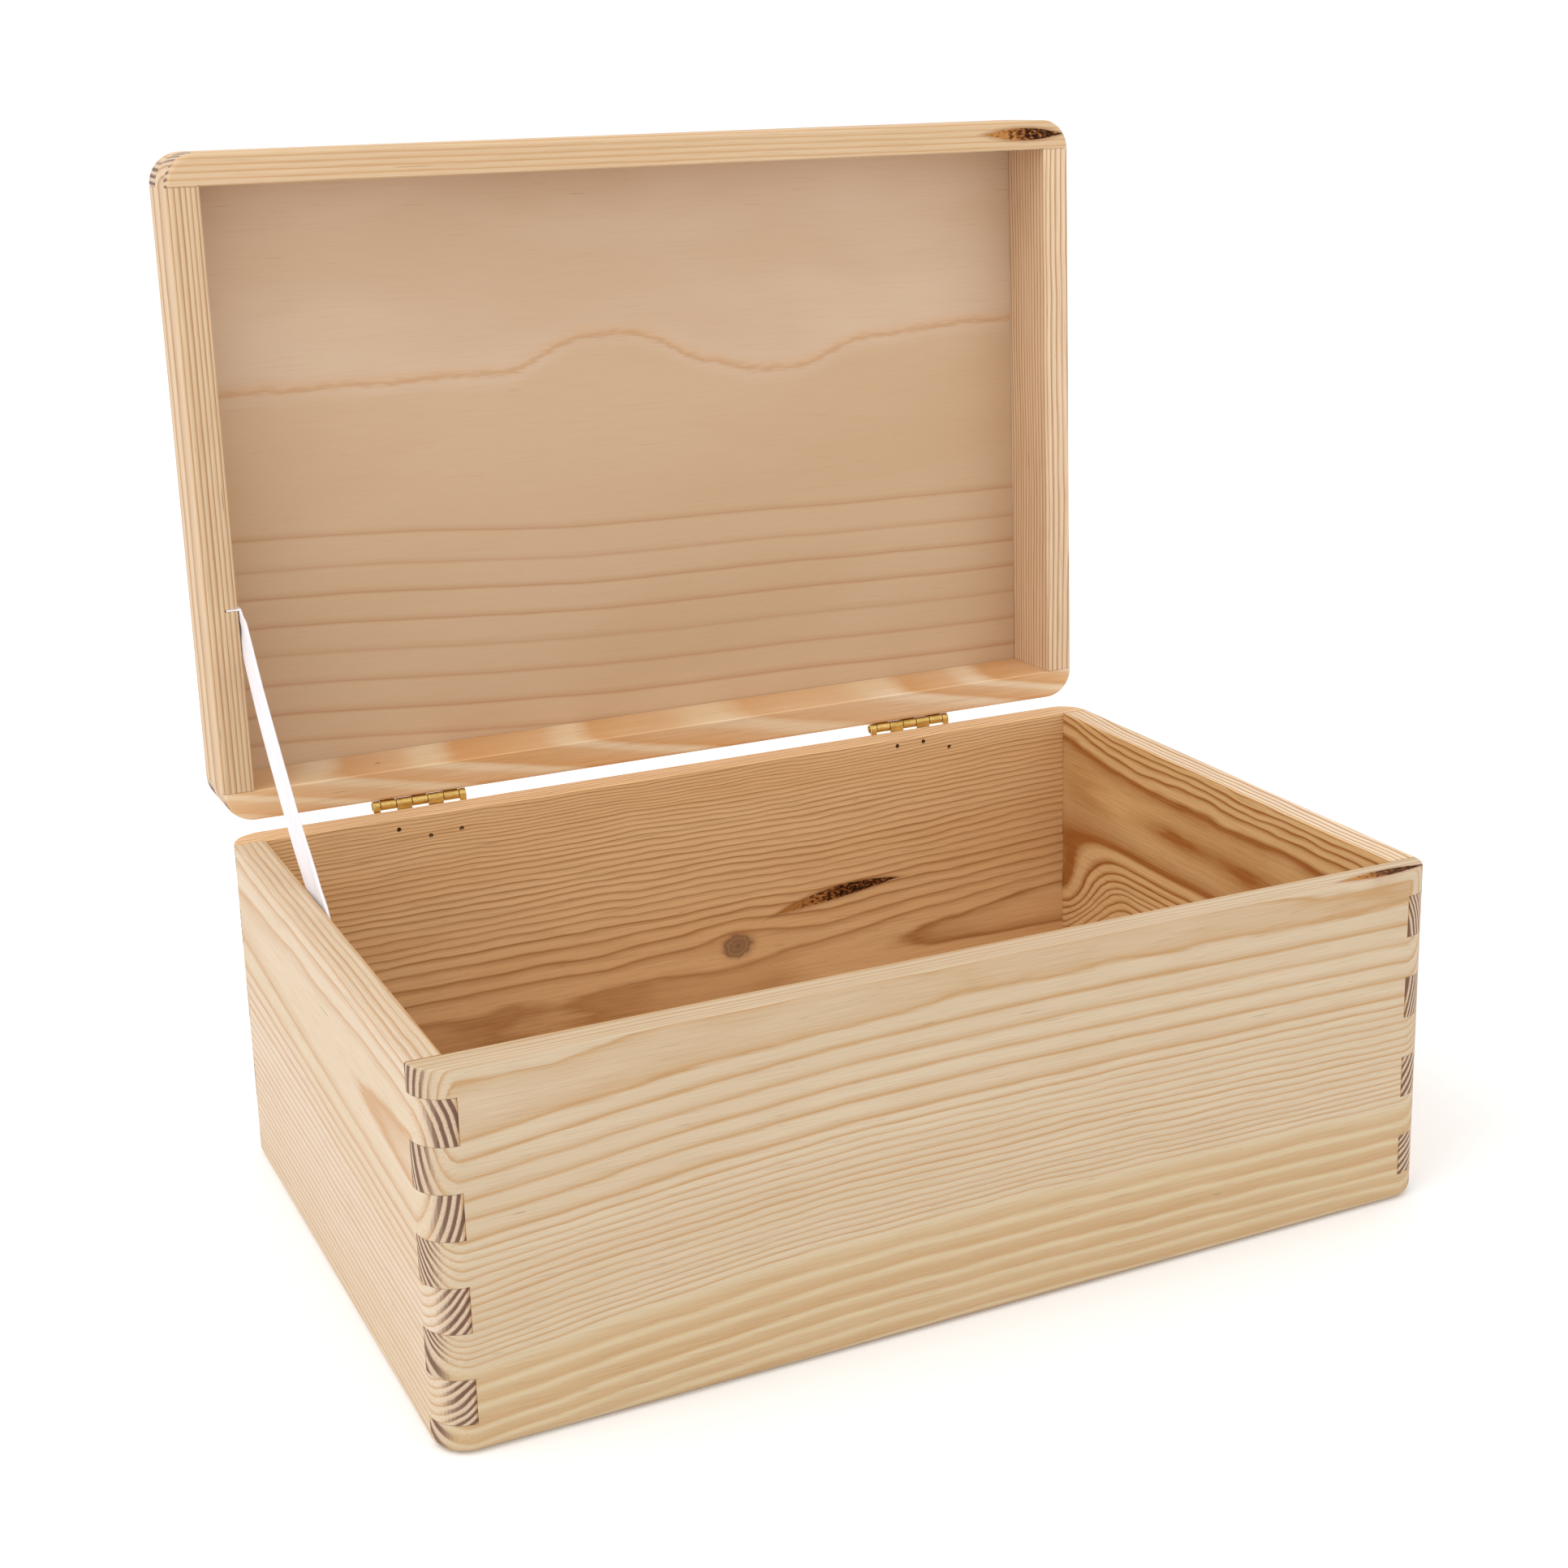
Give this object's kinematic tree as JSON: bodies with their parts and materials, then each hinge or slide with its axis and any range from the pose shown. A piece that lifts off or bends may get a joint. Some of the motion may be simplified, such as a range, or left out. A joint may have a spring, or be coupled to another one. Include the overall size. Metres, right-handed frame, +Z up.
{
  "type": "wooden toy box",
  "caption": "Small pine box with finger-jointed corners and a hinged lid, standing open on its ribbon stay; keeps toys or keepsakes.",
  "frame": {"origin": "centre of the underside of the base, on the surface it rests on", "axes": "+X to the right seen from the front, +Y from the front to the hinged back, +Z up"},
  "size_m": [0.3, 0.2321, 0.3059],
  "materials": {
    "pine_pale": "unfinished sanded pine, pale",
    "pine_warm": "unfinished sanded pine, warmer heartwood",
    "plywood": "sanded plywood face",
    "hinge_brass": "brassed sheet, satin",
    "pin_brass": "brassed wire",
    "nail_brass": "brassed, domed heads",
    "ribbon": "white woven tape",
    "staple_steel": "bright wire"
  },
  "bodies": {
    "base": {"base_front_board": "pine_pale", "base_back_board": "pine_warm", "base_left_board": "pine_pale", "base_right_board": "pine_warm", "base_bottom_panel": "plywood", "ribbon_staple": "staple_steel", "lid_stay_ribbon": "ribbon", "left_hinge_base_leaf": "hinge_brass", "right_hinge_base_leaf": "hinge_brass", "left_hinge_base_nail_1": "nail_brass", "left_hinge_base_nail_2": "nail_brass", "left_hinge_base_nail_3": "nail_brass", "right_hinge_base_nail_1": "nail_brass", "right_hinge_base_nail_2": "nail_brass", "right_hinge_base_nail_3": "nail_brass", "left_hinge_pin": "pin_brass", "right_hinge_pin": "pin_brass"},
    "lid": {"lid_front_rail": "pine_pale", "lid_rear_rail": "pine_pale", "lid_left_rail": "pine_pale", "lid_right_rail": "pine_pale", "lid_top_panel": "plywood", "left_hinge_lid_leaf": "hinge_brass", "right_hinge_lid_leaf": "hinge_brass", "left_hinge_lid_nail_1": "nail_brass", "left_hinge_lid_nail_2": "nail_brass", "left_hinge_lid_nail_3": "nail_brass", "right_hinge_lid_nail_1": "nail_brass", "right_hinge_lid_nail_2": "nail_brass", "right_hinge_lid_nail_3": "nail_brass"}
  },
  "joints": [
    {"name": "lid_hinge", "type": "hinge", "parent": "base", "child": "lid", "pos_m": [0, 0.10175, 0.10415], "axis": [1, 0, 0], "range_deg": [0, 91.2], "deforming": ["lid_stay_ribbon"]}
  ]
}
